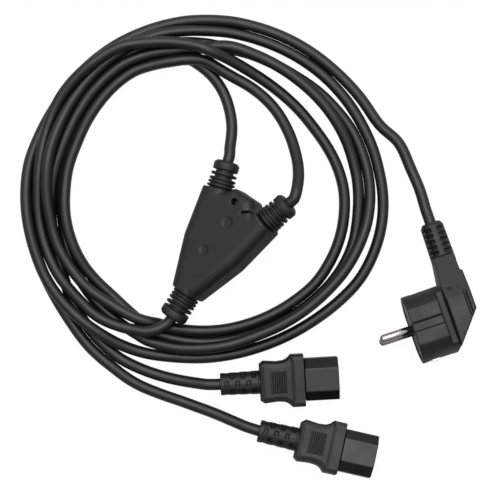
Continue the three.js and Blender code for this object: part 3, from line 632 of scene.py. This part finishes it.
class SPLITTER_OT_inner(bpy.types.Operator):
    """Give the solids that stay as they are the finish of their slot"""

    bl_idname = "splitter.inner"
    bl_label = "Inner pieces"

    def execute(self, context):
        slots = {row["node"]: row["material_slot"] for row in frame["record"]["subparts"]}
        for name, obj in NODES.items():
            obj.data.materials.clear()
            obj.data.materials.append(MATERIALS[slots[name]])
        return {"FINISHED"}


class SPLITTER_OT_stage(bpy.types.Operator):
    """Set up the table, the light and the camera straight above"""

    bl_idname = "splitter.stage"
    bl_label = "Stage"

    def execute(self, context):
        settings = context.scene.splitter_stage
        scene = context.scene
        scene.view_settings.view_transform = "Standard"

        bm = bmesh.new()
        bmesh.ops.create_grid(bm, x_segments=1, y_segments=1, size=3)
        table = finish_mesh(bm, "table", smooth=False)
        table.data.transform(Matrix.Translation((0, 0, -0.0002)))
        scene.collection.objects.link(table)
        white = bpy.data.materials.new("white_table")
        white.use_nodes = True
        tree = white.node_tree
        tree.nodes["Principled BSDF"].inputs["Base Color"].default_value = (0.8, 0.8, 0.8, 1)
        tree.nodes["Principled BSDF"].inputs["Roughness"].default_value = 0.9
        path = add_node(tree, "ShaderNodeLightPath")
        seen = add_node(tree, "ShaderNodeMath", {0: path.outputs["Is Camera Ray"], 1: 0.94}, operation="MULTIPLY")
        mirrored = add_node(
            tree, "ShaderNodeMath", {0: path.outputs["Is Glossy Ray"], 1: 0.12, 2: path.outputs["Is Transmission Ray"]},
            operation="MULTIPLY_ADD",
        )
        shown = add_node(tree, "ShaderNodeMath", {0: seen.outputs[0], 1: mirrored.outputs[0]}, operation="MAXIMUM")
        glow = add_node(tree, "ShaderNodeEmission", {"Color": (1, 1, 1, 1), "Strength": 1.03})
        mixed = add_node(tree, "ShaderNodeMixShader", {0: shown.outputs[0]})
        tree.links.new(tree.nodes["Principled BSDF"].outputs[0], mixed.inputs[1])
        tree.links.new(glow.outputs[0], mixed.inputs[2])
        tree.links.new(mixed.outputs[0], tree.nodes["Material Output"].inputs["Surface"])
        table.data.materials.append(white)

        world = bpy.data.worlds.new("studio")
        scene.world = world
        world.use_nodes = True
        tree = world.node_tree
        path = add_node(tree, "ShaderNodeLightPath")
        direct = add_node(
            tree, "ShaderNodeMath", {0: path.outputs["Is Camera Ray"], 1: path.outputs["Is Transmission Ray"]},
            operation="MAXIMUM",
        )
        # The studio is brighter overhead and behind the part than in front of it, as gloss and metal show it.
        way = add_node(tree, "ShaderNodeTexCoord")
        lit = add_node(
            tree, "ShaderNodeVectorMath", {0: way.outputs["Generated"], 1: (0.0, 0.5, 0.87)}, operation="DOT_PRODUCT"
        )
        room = add_node(
            tree, "ShaderNodeMapRange",
            {"Value": lit.outputs["Value"], "From Min": -0.3, "From Max": 0.8, "To Min": 0.03, "To Max": 0.9},
        )
        gloss = add_node(
            tree, "ShaderNodeMath", {0: path.outputs["Is Glossy Ray"], 1: room.outputs[0]}, operation="MULTIPLY"
        )
        plain = add_node(
            tree, "ShaderNodeMapRange", {"Value": path.outputs["Is Glossy Ray"], "To Min": settings.sky, "To Max": 0.0}
        )
        around = add_node(tree, "ShaderNodeMath", {0: gloss.outputs[0], 1: plain.outputs[0]}, operation="ADD")
        strength = add_node(
            tree, "ShaderNodeMath", {0: direct.outputs[0], 1: around.outputs[0]}, operation="MAXIMUM"
        )
        tree.links.new(strength.outputs[0], tree.nodes["Background"].inputs["Strength"])
        tree.nodes["Background"].inputs["Color"].default_value = (1, 1, 1, 1)

        lamp = bpy.data.lights.new("softbox", "AREA")
        lamp.size = 1.2
        lamp.energy = settings.softbox_power
        obj = bpy.data.objects.new("softbox", lamp)
        obj.location = (0.0, 0.45, 1.25)
        obj.rotation_euler = (-obj.location).to_track_quat("-Z", "Y").to_euler()
        scene.collection.objects.link(obj)

        camera = bpy.data.cameras.new("overhead")
        camera.sensor_width = 36
        camera.lens = 36 * settings.camera_height / settings.frame_width
        eye = bpy.data.objects.new("overhead", camera)
        eye.location = (0.01219, -0.00476, settings.camera_height)
        scene.collection.objects.link(eye)
        scene.camera = eye
        return {"FINISHED"}


class SPLITTER_PT_panel(bpy.types.Panel):
    """Lists the steps in the order they run"""

    bl_label = "Cord splitter"
    bl_idname = "SPLITTER_PT_panel"
    bl_space_type = "VIEW_3D"
    bl_region_type = "UI"
    bl_category = "Cord splitter"

    def draw(self, context):
        for group in ("splitter_cords", "splitter_finish", "splitter_stage"):
            settings = getattr(context.scene, group)
            for key in settings.__annotations__:
                self.layout.prop(settings, key)
        for step in STEPS:
            self.layout.operator(step.bl_idname)


STEPS = (
    SPLITTER_OT_stage,
    SPLITTER_OT_inner,
    SPLITTER_OT_block,
    SPLITTER_OT_reliefs,
    SPLITTER_OT_plug,
    SPLITTER_OT_connectors,
    SPLITTER_OT_cords,
)
GROUPS = {"splitter_cords": CordSettings, "splitter_finish": FinishSettings, "splitter_stage": StageSettings}


def register():
    for group in GROUPS.values():
        bpy.utils.register_class(group)
    for name, group in GROUPS.items():
        setattr(bpy.types.Scene, name, bpy.props.PointerProperty(type=group))
    for step in STEPS:
        bpy.utils.register_class(step)
    bpy.utils.register_class(SPLITTER_PT_panel)


def unregister():
    bpy.utils.unregister_class(SPLITTER_PT_panel)
    for step in reversed(STEPS):
        bpy.utils.unregister_class(step)
    for name, group in GROUPS.items():
        delattr(bpy.types.Scene, name)
        bpy.utils.unregister_class(group)


def main():
    register()
    make_materials(bpy.context.scene.splitter_finish)
    bpy.ops.splitter.stage()
    bpy.ops.splitter.inner()
    bpy.ops.splitter.block()
    bpy.ops.splitter.reliefs()
    bpy.ops.splitter.plug()
    bpy.ops.splitter.connectors()
    bpy.ops.splitter.cords()
    bpy.context.view_layer.update()


if __name__ == "__main__":
    main()
